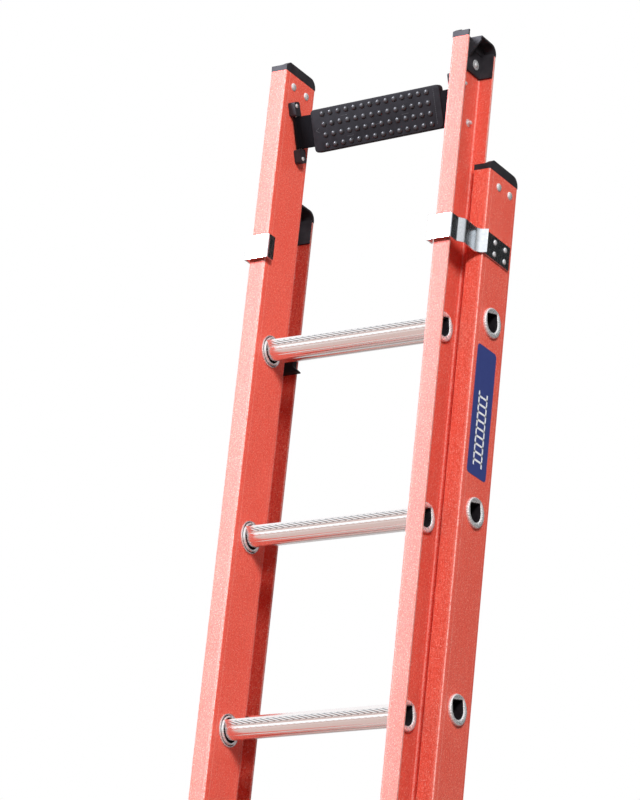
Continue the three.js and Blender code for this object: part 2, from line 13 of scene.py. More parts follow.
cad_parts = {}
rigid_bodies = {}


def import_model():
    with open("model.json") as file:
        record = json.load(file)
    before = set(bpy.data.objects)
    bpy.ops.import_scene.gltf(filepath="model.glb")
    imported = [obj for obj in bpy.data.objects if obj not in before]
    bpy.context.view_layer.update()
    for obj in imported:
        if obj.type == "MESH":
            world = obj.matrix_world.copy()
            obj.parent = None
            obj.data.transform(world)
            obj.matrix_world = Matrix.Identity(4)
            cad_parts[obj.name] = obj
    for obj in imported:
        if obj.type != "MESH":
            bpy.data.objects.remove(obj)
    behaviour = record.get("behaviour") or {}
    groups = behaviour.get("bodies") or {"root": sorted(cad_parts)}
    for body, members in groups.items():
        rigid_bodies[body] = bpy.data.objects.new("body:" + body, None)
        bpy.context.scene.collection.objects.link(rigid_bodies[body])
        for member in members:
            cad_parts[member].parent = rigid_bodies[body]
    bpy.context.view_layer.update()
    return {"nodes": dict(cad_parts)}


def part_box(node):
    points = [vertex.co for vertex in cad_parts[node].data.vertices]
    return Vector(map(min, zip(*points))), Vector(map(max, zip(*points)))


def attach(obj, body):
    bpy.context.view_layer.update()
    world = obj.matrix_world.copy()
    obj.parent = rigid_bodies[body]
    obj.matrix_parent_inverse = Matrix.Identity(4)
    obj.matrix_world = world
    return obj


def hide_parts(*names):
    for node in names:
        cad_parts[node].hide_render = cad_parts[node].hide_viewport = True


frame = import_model()

# ---- measures, in millimetres --------------------------------------------------------------------

MM = 0.001
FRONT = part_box("fly_rail_left")[0][1]
PITCH = 300
RUNGS = 9
RAIL_DEPTH = 83
RAIL_WIDTH = 28.5
WALL = 4.5
FLY_INNER = 150
BASE_OUTER = 198
BASE_SETBACK = 64
FLY_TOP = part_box("fly_rail_left")[1][2] / MM
FLY_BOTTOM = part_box("fly_rail_left")[0][2] / MM
BASE_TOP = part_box("base_rail_left")[1][2] / MM
BASE_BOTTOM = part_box("base_rail_left")[0][2] / MM
FLY_OUTER = FLY_INNER + WALL
BASE_INNER = BASE_OUTER - WALL
FLY_WEB = RAIL_DEPTH / 2
BASE_WEB = BASE_SETBACK + RAIL_DEPTH / 2
FLY_RUNG_TOP = RUNGS * PITCH - 25
STEP_ANGLE = math.radians(15)
D_HALF = 16
D_TOP = 15.5
D_LOW = 0.5
CAP_RISE = 16.5
GAP = 0.3

SIDES = (("left", -1), ("right", 1))


def row(point):
    x, y, z = point
    return (x * MM, y * MM + FRONT, z * MM)


# ---- mesh making ---------------------------------------------------------------------------------


class Shape:
    """Closed shells gathered into one mesh, in millimetres.

    Each face keeps its material's number in slots, and a dict holds the painted shade of the points that
    have any.
    """

    def __init__(self):
        self.verts = []
        self.faces = []
        self.slots = []
        self.painted_shade = {}

    def add(self, verts, faces, slot=0, move=None):
        start = len(self.verts)
        self.verts += [tuple(move @ Vector(v)) if move else tuple(v) for v in verts]
        self.faces += [[start + i for i in face] for face in faces]
        self.slots += [slot] * len(faces)
        return self

    def loft(self, loops, closed=False, slot=0, move=None, inner=(), inner_slot=0):
        """Skins loops of equally many points. An open run gets a flat face at each end.

        inner names the spans, by their first loop, whose faces take inner_slot instead.
        """
        count = len(loops[0])
        verts = [p for loop in loops for p in loop]
        faces = []
        spans = len(loops) if closed else len(loops) - 1
        for i in range(spans):
            a = i * count
            b = ((i + 1) % len(loops)) * count
            for j in range(count):
                k = (j + 1) % count
                faces.append([a + j, a + k, b + k, b + j])
        if not closed:
            faces.append(list(range(count))[::-1])
            faces.append([(len(loops) - 1) * count + j for j in range(count)])
        start = len(self.slots)
        self.add(verts, faces, slot, move)
        for i in inner:
            first = start + i * count
            self.slots[first:first + count] = [inner_slot] * count
        return self

    def prism(self, profile, axis, low, high, slot=0, move=None):
        """A profile in the plane across an axis: (Y, Z) for X, (X, Z) for Y, (X, Y) for Z."""
        loops = [[lifted(u, v, axis, t) for u, v in profile] for t in (low, high)]
        return self.loft(loops, slot=slot, move=move)

    def box(self, xs, ys, zs, slot=0, move=None):
        profile = [(xs[0], ys[0]), (xs[1], ys[0]), (xs[1], ys[1]), (xs[0], ys[1])]
        return self.prism(profile, "Z", zs[0], zs[1], slot, move)

    def lathe(self, profile, axis, centre, steps=24, slot=0, move=None):
        """Turns (radius, height) pairs round an axis. The profile starts and ends on the axis or closes."""
        on_axis = profile[0][0] == 0
        rings = profile[1:-1] if on_axis else profile
        loops = []
        for radius, height in rings:
            loop = []
            for i in range(steps):
                angle = 2 * math.pi * i / steps
                point = lifted(radius * math.cos(angle), radius * math.sin(angle), axis, height)
                loop.append(tuple(p + c for p, c in zip(point, centre)))
            loops.append(loop)
        return self.loft(loops, closed=not on_axis, slot=slot, move=move)


def lifted(u, v, axis, t):
    return {"X": (t, u, v), "Y": (u, t, v), "Z": (u, v, t)}[axis]


def rounded(profile, radius, steps=4):
    """The profile with each corner replaced by an arc. radius may be one number or one for each corner."""
    radii = radius if isinstance(radius, (list, tuple)) else [radius] * len(profile)
    out = []
    for i, (corner, size) in enumerate(zip(profile, radii)):
        here = Vector(corner)
        if size <= 0:
            out.append(tuple(here))
            continue
        before = (Vector(profile[i - 1]) - here).normalized()
        after = (Vector(profile[(i + 1) % len(profile)]) - here).normalized()
        half = before.angle(after) / 2
        reach = size / math.tan(half)
        centre = here + (before + after).normalized() * (size / math.sin(half))
        first = here + before * reach - centre
        last = here + after * reach - centre
        sweep = first.angle_signed(last)
        for k in range(steps + 1):
            turned = first.copy()
            turned.rotate(Matrix.Rotation(-sweep * k / steps, 2))
            out.append(tuple(centre + turned))
    return out


def strip(path, thickness):
    """The outline of a bent strip about its centre line."""
    sides = []
    for side in (0.5, -0.5):
        edge = []
        for i, here in enumerate(path):
            here = Vector(here)
            ahead = Vector(path[min(i + 1, len(path) - 1)]) - Vector(path[min(i, len(path) - 2)])
            behind = here - Vector(path[i - 1]) if i else ahead
            ahead.normalize()
            behind.normalize()
            mean = (ahead + behind).normalized()
            reach = side * thickness / max(mean.dot(behind), 0.3)
            edge.append((here.x - mean.y * reach, here.y + mean.x * reach))
        sides.append(edge)
    return sides[0] + sides[1][::-1]


def bend(path, radii, steps=6):
    """An open centre line with arcs at its inner corners."""
    out = [tuple(path[0])]
    for i in range(1, len(path) - 1):
        around = [path[i - 1], path[i], path[i + 1]]
        arc = rounded(around, [0, radii[i - 1], 0], steps)
        out += arc[1:-1]
    out.append(tuple(path[-1]))
    return out


def make(name, shape, materials, body, replaces=(), bevel=0.0, smooth=40):
    """Turns a Shape into an object that rides on a body, with rounded edges if bevel is given in mm."""
    mesh = bpy.data.meshes.new(name)
    mesh.from_pydata([row(v) for v in shape.verts], [], shape.faces)
    mesh.polygons.foreach_set("material_index", shape.slots)
    for material in materials if isinstance(materials, (list, tuple)) else [materials]:
        mesh.materials.append(material)
    return place(name, mesh, body, replaces, bevel, smooth)


def turn_outward(mesh):
    """Makes every face of the mesh's closed shells face outward."""
    clean = bmesh.new()
    clean.from_mesh(mesh)
    bmesh.ops.recalc_face_normals(clean, faces=clean.faces)
    clean.to_mesh(mesh)
    clean.free()


def place(name, mesh, body, replaces=(), bevel=0.0, smooth=40):
    """Puts a mesh in the scene on a body. Edges under smooth degrees are shaded soft."""
    turn_outward(mesh)
    mesh.shade_smooth()
    mesh.set_sharp_from_angle(angle=math.radians(smooth))
    made = bpy.data.objects.new(name, mesh)
    bpy.context.scene.collection.objects.link(made)
    if bevel:
        add_bevel(made, bevel)
    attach(made, body)
    if replaces:
        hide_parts(*replaces)
    return made


BEVEL_ANGLE = math.radians(32)
FLAT_ANGLE = math.radians(0.5)
WELD_REACH = 1e-6


def add_bevel(made, width):
    edge = made.modifiers.new("edges", "BEVEL")
    edge.width = width * MM
    edge.segments = 2
    edge.limit_method = "ANGLE"
    edge.angle_limit = BEVEL_ANGLE
    edge.harden_normals = True
    edge.use_clamp_overlap = True


def refine(node, material, body, bevel):
    """A copy of a CAD node's solid with rounded edges, in place of the node."""
    source = frame["nodes"][node]
    mesh = source.data.copy()
    mesh.transform(source.matrix_world)
    mesh.materials.clear()
    mesh.materials.append(material)
    tidy = bmesh.new()
    tidy.from_mesh(mesh)
    bmesh.ops.remove_doubles(tidy, verts=tidy.verts, dist=WELD_REACH)
    bmesh.ops.dissolve_limit(tidy, angle_limit=FLAT_ANGLE, verts=tidy.verts, edges=tidy.edges)
    tidy.to_mesh(mesh)
    tidy.free()
    return place(f"{node}_finished", mesh, body, [node], bevel, smooth=32)


# ---- materials -----------------------------------------------------------------------------------


class Nodes:
    """Small wiring helper round one material's node tree."""

    def __init__(self, name):
        self.material = bpy.data.materials.new(name)
        self.material.use_nodes = True
        self.tree = self.material.node_tree
        self.shader = self.tree.nodes["Principled BSDF"]
        self.coords = self.tree.nodes.new("ShaderNodeTexCoord").outputs["Object"]

    def set(self, **values):
        for key, value in values.items():
            self.shader.inputs[key.replace("_", " ")].default_value = value
        return self

    def new(self, kind, **settings):
        node = self.tree.nodes.new(kind)
        for key, value in settings.items():
            setattr(node, key, value)
        return node

    def link(self, source, target):
        self.tree.links.new(source, target)

    def stretched(self, scale, turn=(0, 0, 0)):
        node = self.new("ShaderNodeMapping")
        node.inputs["Scale"].default_value = scale
        node.inputs["Rotation"].default_value = turn
        self.link(self.coords, node.inputs["Vector"])
        return node.outputs["Vector"]

    def noise(self, scale, detail=3, stretch=None, roughness=0.55):
        node = self.new("ShaderNodeTexNoise")
        node.inputs["Scale"].default_value = scale
        node.inputs["Detail"].default_value = detail
        node.inputs["Roughness"].default_value = roughness
        self.link(self.stretched(stretch) if stretch else self.coords, node.inputs["Vector"])
        return node.outputs["Fac"]

    def ramp(self, source, low, high, out_low=0.0, out_high=1.0):
        node = self.new("ShaderNodeMapRange")
        for key, value in (("From Min", low), ("From Max", high), ("To Min", out_low), ("To Max", out_high)):
            node.inputs[key].default_value = value
        self.link(source, node.inputs["Value"])
        return node.outputs["Result"]

    def mix(self, factor, first, second):
        node = self.new("ShaderNodeMix", data_type="RGBA")
        for socket, value in ((node.inputs[0], factor), (node.inputs[6], first), (node.inputs[7], second)):
            if isinstance(value, bpy.types.NodeSocket):
                self.link(value, socket)
            else:
                socket.default_value = (*value, 1) if isinstance(value, tuple) else value
        return node.outputs[2]

    def maths(self, operation, first, second):
        node = self.new("ShaderNodeMath", operation=operation)
        for socket, value in zip(node.inputs, (first, second)):
            if isinstance(value, bpy.types.NodeSocket):
                self.link(value, socket)
            else:
                socket.default_value = value
        return node.outputs[0]

    def bump(self, height, strength, distance):
        node = self.new("ShaderNodeBump")
        node.inputs["Strength"].default_value = strength
        node.inputs["Distance"].default_value = distance
        self.link(height, node.inputs["Height"])
        self.link(node.outputs["Normal"], self.shader.inputs["Normal"])

    def colour(self, socket):
        self.link(socket, self.shader.inputs["Base Color"])

    def rough(self, socket):
        self.link(socket, self.shader.inputs["Roughness"])


def fibreglass():
    """Pultruded glass fibre: fine fibres run up the rail. Its edges and a few lines up its faces are paler:
    worn fibres, and a painted highlight as well.
    """
    n = Nodes("fibreglass").set(Specular_IOR_Level=0.55)
    streaks = n.ramp(n.noise(1, 4, (900, 900, 30)), 0.36, 0.66)
    grain = n.ramp(n.noise(460, 5, (1, 1, 0.55), roughness=0.85), 0.44, 0.60)
    cloud = n.ramp(n.noise(14, 2), 0.35, 0.65)
    red = n.mix(streaks, (0.72, 0.056, 0.030), (0.90, 0.098, 0.060))
    red = n.mix(n.maths("MULTIPLY", grain, 0.9), red, (1.0, 0.215, 0.150))
    red = n.mix(n.maths("MULTIPLY", cloud, 0.3), red, (0.80, 0.074, 0.044))
    specks = n.ramp(n.noise(560, 2, roughness=0.6), 0.60, 0.66, 0.0, 0.8)
    red = n.mix(specks, red, (0.98, 0.50, 0.42))
    # Pale pink along the edges and a few lines: partly worn fibres, partly a painted highlight.
    edge = n.new("ShaderNodeAttribute", attribute_name="edge").outputs["Fac"]
    flecks = n.ramp(n.noise(700, 3, (1, 1, 0.6), 0.8), 0.42, 0.56, 0.08, 1.0)
    worn_and_highlit = n.maths("MULTIPLY", n.maths("MULTIPLY", edge, flecks), 0.9)
    n.colour(n.mix(worn_and_highlit, red, (1.0, 0.66, 0.60)))
    n.rough(n.ramp(grain, 0, 1, 0.40, 0.56))
    n.bump(n.noise(480, 5, (1, 1, 0.5), 0.8), 0.6, 0.0012)
    return n.material


def metal(name, colour, rough, grain, grain_scale, bump=0.12, distance=0.0002, metallic=1.0):
    """A bare metal. grain is the stretch of its fine lines, and grain_scale their fineness."""
    n = Nodes(name).set(Metallic=metallic)
    lines = n.noise(grain_scale, 4, grain)
    cloud = n.ramp(n.noise(40, 3), 0.3, 0.7)
    dull = tuple(c * 0.82 for c in colour)
    n.colour(n.mix(n.maths("MULTIPLY", cloud, 0.5), colour, dull))
    n.rough(n.ramp(lines, 0.3, 0.7, rough[0], rough[1]))
    n.bump(lines, bump, distance)
    return n.material


def rung_metal():
    """Drawn aluminium, painted dark grey as shade in the troughs of the twisted relief."""
    n = Nodes("rung_aluminium").set(Metallic=1.0)
    lines = n.noise(1, 4, (30, 1400, 1400))
    trough = n.new("ShaderNodeAttribute", attribute_name="trough").outputs["Fac"]
    # Painted shade: dark grey in the troughs and along the bands' edges.
    n.colour(n.mix(trough, (0.95, 0.95, 0.96), (0.24, 0.24, 0.26)))
    n.rough(n.ramp(lines, 0.3, 0.7, 0.16, 0.28))
    n.bump(lines, 0.05, 0.0001)
    return n.material


def zinc():
    """Bright zinc plate, with faint spangles and scuffs."""
    n = Nodes("zinc_steel").set(Metallic=1.0)
    spangle = n.new("ShaderNodeTexVoronoi", feature="F1")
    spangle.inputs["Scale"].default_value = 160
    n.link(n.coords, spangle.inputs["Vector"])
    tone = n.ramp(spangle.outputs["Distance"], 0.0, 0.9)
    n.colour(n.mix(tone, (0.92, 0.96, 1.0), (0.80, 0.85, 0.90)))
    scuffs = n.noise(1, 4, (1400, 1400, 70))
    n.rough(n.ramp(scuffs, 0.3, 0.7, 0.18, 0.34))
    n.bump(scuffs, 0.03, 0.0001)
    return n.material


def moulded(name, colour, rough, grain=1500, strength=0.25, distance=0.00025, specular=0.4):
    """Black plastic or rubber with a fine moulded grain and dusty variation."""
    n = Nodes(name).set(Specular_IOR_Level=specular)
    dust = n.ramp(n.noise(60, 4), 0.35, 0.75)
    pale = tuple(min(1.0, c * 1.7 + 0.006) for c in colour)
    n.colour(n.mix(dust, colour, pale))
    n.rough(n.ramp(dust, 0, 1, rough, min(1.0, rough + 0.14)))
    n.bump(n.noise(grain, 3, roughness=0.7), strength, distance)
    return n.material


def woven(name, colour, turn):
    """Woven webbing: ribs along the strap crossed by finer weft. turn lays the pattern in its plane."""
    n = Nodes(name).set(Roughness=0.9, Sheen_Weight=0.04, Specular_IOR_Level=0.08)
    plane = n.stretched((1, 1, 1), turn)
    waves = []
    for direction, scale in (("X", 260), ("Z", 190)):
        wave = n.new("ShaderNodeTexWave", wave_type="BANDS", bands_direction=direction)
        wave.inputs["Scale"].default_value = scale
        wave.inputs["Distortion"].default_value = 0.4
        n.link(plane, wave.inputs["Vector"])
        waves.append(wave.outputs["Fac"])
    weave = n.maths("MULTIPLY", waves[0], waves[1])
    fuzz = n.noise(2200, 3)
    n.colour(n.mix(weave, tuple(c * 0.55 for c in colour), tuple(c * 1.5 for c in colour)))
    n.bump(n.maths("ADD", weave, n.maths("MULTIPLY", fuzz, 0.4)), 0.6, 0.0006)
    return n.material


def sticker(name, colour, rough=0.3):
    """Printed vinyl: an even colour with faint ink mottle under a satin film."""
    n = Nodes(name).set(Coat_Weight=0.15, Coat_Roughness=0.25)
    ink = n.ramp(n.noise(300, 3), 0.3, 0.7)
    n.colour(n.mix(ink, colour, tuple(min(1.0, c * 1.12 + 0.004) for c in colour)))
    n.rough(n.ramp(ink, 0, 1, rough, rough + 0.1))
    n.bump(n.noise(90, 2), 0.05, 0.0004)
    return n.material


STRAP_TILT = math.radians(23)
EVEN = (1, 1, 1)

FIBREGLASS = fibreglass()
RUNG_METAL = rung_metal()
SATIN_METAL = metal("swaged_aluminium", (0.96, 0.95, 0.96), (0.18, 0.34), EVEN, 400, 0.3, 0.0006, 0.62)
COLLAR_METAL = metal("turned_aluminium", (0.90, 0.89, 0.90), (0.18, 0.30), EVEN, 300, 0.08, 0.0003, 0.72)
CAST_METAL = metal("cast_aluminium", (0.72, 0.72, 0.73), (0.32, 0.50), EVEN, 900, 0.3, 0.0003)
# Near black and without gloss: painted shade for the bore, the collars' grooves and the lips' inner turn.
BORE_SHADE = moulded("bore_shade", (0.011, 0.009, 0.011), 0.7, specular=0.0)
BOLT_METAL = metal("bolt_steel", (0.84, 0.84, 0.85), (0.22, 0.36), EVEN, 500, metallic=0.6)
ZINC = zinc()
PLASTIC = moulded("black_plastic", (0.019, 0.017, 0.020), 0.56, specular=0.3)
RUBBER = moulded("black_rubber", (0.0075, 0.0068, 0.0085), 0.62, 1100, 0.3, specular=0.16)
WORN_RUBBER = moulded("worn_rubber", (0.012, 0.012, 0.014), 0.34, 1100, 0.1, specular=0.6)
WEBBING = woven("black_webbing", (0.0055, 0.005, 0.0065), (-STRAP_TILT, 0, 0))
LABEL_BLUE = sticker("label_blue", (0.040, 0.058, 0.215))
LABEL_WHITE = sticker("label_white", (0.86, 0.87, 0.88))

# ---- rails ---------------------------------------------------------------------------------------

TINY = 1e-9
SLACK = 1e-6


def d_radius(angle, grow=0.0):
    """How far the rung's D outline lies from its centre, at an angle from +Y towards +Z.

    The D is a flat tread over straight sides and a half-round bottom, turned by STEP_ANGLE.
    """
    half = D_HALF + grow
    top = D_TOP + grow
    a = angle - STEP_ANGLE
    c, s = math.cos(a), math.sin(a)
    reach = []
    if s > TINY:
        reach.append(top / s)
    if abs(c) > TINY and (half / abs(c)) * s >= D_LOW - SLACK:
        reach.append(half / abs(c))
    b = s * D_LOW
    arc = b + math.sqrt(max(b * b - D_LOW * D_LOW + half * half, 0))
    if not reach or s * arc < D_LOW:
        return arc
    return min(reach)


def evenly(steps):
    return [2 * math.pi * i / steps for i in range(steps)]


def d_loop(x, centre, grow=0.0, angles=evenly(72), extra=None, round_share=0.0, round_radius=0.0):
    """The D outline at X x. round_share blends it towards a circle of round_radius."""
    loop = []
    for angle in angles:
        radius = d_radius(angle, grow) + (extra(angle) if extra else 0.0)
        radius += (round_radius - radius) * round_share
        loop.append((x, centre[0] + radius * math.cos(angle), centre[1] + radius * math.sin(angle)))
    return loop


PALE_LINE_HALF = 0.6


def pale_line(start, end, at):
    """Three points across a face of the rail's outline, round a pale line that runs up it: worn fibres and a
    painted highlight.
    """
    way = (Vector(end) - Vector(start)).normalized()
    return [tuple(Vector(start) + way * (at + side * PALE_LINE_HALF)) for side in (-1, 0, 1)]


# The corners of a rail's outline in order: radii, and how pale they are before, at and after, from worn
# fibres and painted highlight.
CORNER_RADII = [2.3, 1.5, 1.5, 3.0, 3.0, 1.5, 1.5, 2.3]
CORNER_PALE = [
    (0, 1, 0), (0, 0.7, 1), (1, 0.7, 0), (0, 0.5, 0),
    (0, 0.6, 0), (0, 0.7, 1), (1, 0.7, 0), (0, 0.9, 0),
]
# Pale lines after a corner, of worn fibres and painted highlight: how far from it, and how pale.
PALE_LINES = {0: ((3.6, 0.45),), 3: ((66.0, 0.35),), 7: ((8.0, 0.4), (71.5, 0.8))}
HOLE_SLACK = 0.2
HOLE_POINTS = 48


def rail_outline(side, web, reach, front):
    """The channel's outline in (X, Y), and how pale it is at each of its points, from worn fibres and
    painted highlight.
    """
    wall = web + math.copysign(WALL, reach)
    tip = web + reach
    corners = [
        (web, 0), (tip, 0), (tip, WALL), (wall, WALL),
        (wall, RAIL_DEPTH - WALL), (tip, RAIL_DEPTH - WALL), (tip, RAIL_DEPTH), (web, RAIL_DEPTH),
    ]
    outline = []
    weight = []
    for i, corner in enumerate(corners):
        after = corners[(i + 1) % 8]
        arc = rounded([corners[i - 1], corner, after], [0, CORNER_RADII[i], 0], 4)[1:-1]
        first, middle, last = CORNER_PALE[i]
        weight += [first, (first + middle) / 2, middle, (middle + last) / 2, last]
        for at, pale in PALE_LINES.get(i, ()):
            arc += pale_line(corner, after, at)
            weight += [0.0, pale, 0.0]
        outline += [(side * x, front + y) for x, y in arc]
    return outline, weight


def rail(name, side, web, reach, front, heights, low, high, body):
    """A channel rail: web's face at X web, flanges towards X web + reach, a hole at each height."""
    outline, weight = rail_outline(side, web, reach, front)
    shape = Shape().prism(outline, "Z", low, high)
    mesh = bpy.data.meshes.new(name)
    mesh.from_pydata([row(v) for v in shape.verts], [], shape.faces)
    edge = mesh.attributes.new("edge", "FLOAT", "POINT")
    edge.data.foreach_set("value", weight * 2)
    mesh.materials.append(FIBREGLASS)
    cutter = Shape()
    middle = front + RAIL_DEPTH / 2
    inward = math.copysign(1, reach)
    for height in heights:
        ends = (side * (web - inward * 3), side * (web + inward * (WALL + 3)))
        cutter.loft([d_loop(x, (middle, height), HOLE_SLACK, evenly(HOLE_POINTS)) for x in ends])
    return place(name, carved(mesh, cutter), body, [name.replace("_channel", "")])


def carved(mesh, cutter):
    """The mesh with a Shape cut out of it."""
    block = bpy.data.objects.new("block", mesh)
    tool_mesh = bpy.data.meshes.new("tool")
    tool_mesh.from_pydata([row(v) for v in cutter.verts], [], cutter.faces)
    turn_outward(tool_mesh)
    turn_outward(mesh)
    tool = bpy.data.objects.new("tool", tool_mesh)
    for each in (block, tool):
        bpy.context.scene.collection.objects.link(each)
    cut = block.modifiers.new("cut", "BOOLEAN")
    cut.object = tool
    cut.operation = "DIFFERENCE"
    cut.solver = "EXACT"
    bpy.context.view_layer.update()
    ready = block.evaluated_get(bpy.context.evaluated_depsgraph_get())
    result = bpy.data.meshes.new_from_object(ready)
    for each in (block, tool):
        bpy.data.objects.remove(each)
    return result


def rung_heights(top):
    return [top - PITCH * i for i in range(RUNGS)][::-1]


def build_rails():
    fly = rung_heights(FLY_RUNG_TOP)
    base = rung_heights(RUNGS * PITCH)
    for side, sign in SIDES:
        rail(f"fly_rail_{side}_channel", sign, FLY_INNER, RAIL_WIDTH, 0, fly, FLY_BOTTOM, FLY_TOP, "fly")
        rail(f"base_rail_{side}_channel", sign, BASE_OUTER, -RAIL_WIDTH, BASE_SETBACK, base,
             BASE_BOTTOM, BASE_TOP, "base")


# ---- rungs ---------------------------------------------------------------------------------------

# The rung's skin. Distances on its sides run down from the tread's edge, and keel lines are in degrees.
RIB_PITCH = 4.4
RIB_DEPTH = 0.45
# Turns round the D: where its tread's edges are, and where its sides end below.
TREAD = (46, 134)
SIDES_END = (188, 352)
KEEL_LINES = (216.5, 242.0, 298.0, 323.5)
KEEL_STEPS = (-5, -3, -1.5, 0, 1.5, 3, 5)
# Beads and grooves: where they are, half their width, and their height.
SIDE_RELIEF = ((14.4, 1.7, 0.5), (11.2, 1.1, -0.8))
KEEL_RELIEF = ((0.0, 2.8, 0.55), (4.5, 1.6, -0.3))
TWIST_PITCH = 11
TWIST_RISE = 3.6
TWIST_STEP = 1.7
TWIST_FADE = 12
TWIST_ROOT = 15.2
TWIST_ROWS = 8
# The twisted bands: from and to, below the tread's edge, then their thickness and the wave on it.
TWIST_BANDS = ((2.2, 9.6, 0.15, 0.58), (13.2, 15.8, 0.3, 0.6))


def rung_angles():
    """Angles round the D, closer together where its skin is ribbed."""
    turns = set(range(0, 360, 6))
    turns |= set(range(46, 190, 2))
    turns |= set(range(-8, 44, 2))
    for line in KEEL_LINES:
        turns |= {line + step for step in KEEL_STEPS}
    return sorted((math.radians(turn) + STEP_ANGLE) % (2 * math.pi) for turn in turns)


def relief(distance, bumps):
    """The height of the beads and grooves at a distance. Each is a parabola."""
    return sum(height * max(0.0, 1 - ((distance - at) / half) ** 2) for at, half, height in bumps)


def rib(angle):
    """How far the rung's skin stands out: tread ribs, a groove and bead down each side, keel lines."""
    a = (angle - STEP_ANGLE) % (2 * math.pi)
    turn = math.degrees(a)
    if TREAD[0] < turn < TREAD[1]:
        across = D_TOP / math.tan(a)
        return RIB_DEPTH * (0.5 + 0.5 * math.cos(2 * math.pi * across / RIB_PITCH)) - RIB_DEPTH
    if TREAD[1] < turn <= SIDES_END[0] or turn < TREAD[0] or turn >= SIDES_END[1]:
        slope = math.tan(math.pi - a) if 90 < turn < 270 else math.tan(a)
        return relief(D_TOP - D_HALF * slope, SIDE_RELIEF)
    return relief(min(abs(turn - keel) for keel in KEEL_LINES), KEEL_RELIEF)


def twist_band(shape, half, front, low, high, base, wave):
    """A strip of twisted relief on one side of the D. Its troughs and both its edges get painted shade."""
    count = int(2 * half / TWIST_STEP)
    c, s = math.cos(STEP_ANGLE), math.sin(STEP_ANGLE)
    loops = []
    trough_shades = []
    for i in range(count + 1):
        x = -half + 2 * half * i / count
        fade = min(1.0, (half - abs(x)) / TWIST_FADE)
        skin = []
        for k in range(TWIST_ROWS + 1):
            down = low + (high - low) * k / TWIST_ROWS
            turn = 2 * math.pi * (x / TWIST_PITCH + front * down / TWIST_RISE)
            crest = math.sin(math.pi * k / TWIST_ROWS) ** 0.4
            height = crest * (base + wave * (0.5 + 0.5 * math.cos(turn)) * max(fade, 0.05)) - 0.1
            skin.append((front * (D_HALF + height), D_TOP - down))
            # Painted shade, darkest in the relief's troughs; the band's edges and roots take it in full.
            dip_shade = (0.5 - 0.5 * math.cos(turn)) ** 1.5 * fade
            trough_shades.append(1.0 if k in (0, TWIST_ROWS) else dip_shade)
        trough_shades += [1.0, 1.0]
        skin += [(front * TWIST_ROOT, D_TOP - high), (front * TWIST_ROOT, D_TOP - low)]
        loops.append([(x, y * c - z * s, y * s + z * c) for y, z in skin])
    first = len(shape.verts)
    shape.loft(loops)
    shape.painted_shade.update({first + i: trough for i, trough in enumerate(trough_shades)})


# The collar on the web's inner face: radius and height, then the heights of its D-shaped foot.
COLLAR_RING = [
    (25.0, 0.0), (25.0, 1.6), (24.6, 2.4), (23.7, 2.7), (22.9, 2.2), (22.4, 1.5), (21.9, 2.4),
    (21.6, 4.2), (21.0, 5.1), (20.2, 5.4), (19.3, 5.0), (18.4, 3.6),
]
COLLAR_FOOT = (2.8, 0.0)
# These spans are painted near black as shade.
COLLAR_GROOVE_SHADE = (4, 5, 11)
# The swaged lip on the web's outer face: how round it is, from the D to the circle, and its height.
LIP_RADIUS = 23.2
LIP = [
    (1.0, 0.1), (1.0, 2.4), (0.95, 3.7), (0.84, 4.5), (0.68, 4.8),
    (0.50, 4.7), (0.32, 4.3), (0.15, 3.6), (0.02, 2.6),
]
# From this span inward the lip is painted near black as shade.
LIP_SHADE = 8
# The rung's materials by slot. The second is near-black painted shade.
SKIN, SHADE_SLOT, COLLAR, LIP_END = range(4)
BORE_INSET = 1.7
SUNK = 1.0
ON_AXIS = (0, 0)


def tube(shape, span, outer):
    """The D tube, smooth at both ends and ribbed between. Its bore is painted near black as shade."""
    angles = rung_angles()
    stations = [-span, -span + 3, -span + 6, span - 6, span - 3, span]
    shares = [0.0, 0.0, 1.0, 1.0, 0.0, 0.0]
    loops = [d_loop(-outer, ON_AXIS, 0, angles)]
    for x, share in zip(stations, shares):
        loops.append(d_loop(x, ON_AXIS, 0, angles, lambda a, share=share: share * rib(a)))
    loops.append(d_loop(outer, ON_AXIS, 0, angles))
    loops += [d_loop(x, ON_AXIS, -BORE_INSET, angles) for x in (outer, -outer)]
    shape.loft(loops, closed=True, slot=SKIN, inner=(len(loops) - 2,), inner_slot=SHADE_SLOT)


def collar(shape, end, inner):
    """The stepped ring on a web's inner face, closed round the tube. Its grooves and the step down to its
    foot are painted near black as shade.
    """
    face = inner - 0.1
    ring = [d_loop(end * (face - rise), ON_AXIS, -SUNK, round_share=1.0, round_radius=radius)
            for radius, rise in COLLAR_RING]
    ring += [d_loop(end * (face - rise), ON_AXIS, -SUNK) for rise in COLLAR_FOOT]
    shape.loft(ring, closed=True, slot=COLLAR, inner=COLLAR_GROOVE_SHADE, inner_slot=SHADE_SLOT)


def swaged_lip(shape, end, outer):
    """The tube's end, rolled out over a web's outer face. It is painted near black as shade where it turns
    into the bore.
    """
    lip = [d_loop(end * (outer + rise), ON_AXIS, -SUNK, round_share=share, round_radius=LIP_RADIUS)
           for share, rise in LIP]
    lip.append(d_loop(end * (outer + 0.1), ON_AXIS, -BORE_INSET + 0.2))
    lip.append(d_loop(end * (outer - 0.8), ON_AXIS, -BORE_INSET + 0.1))
    shape.loft(lip, closed=True, slot=LIP_END, inner=range(LIP_SHADE, len(lip)), inner_slot=SHADE_SLOT)


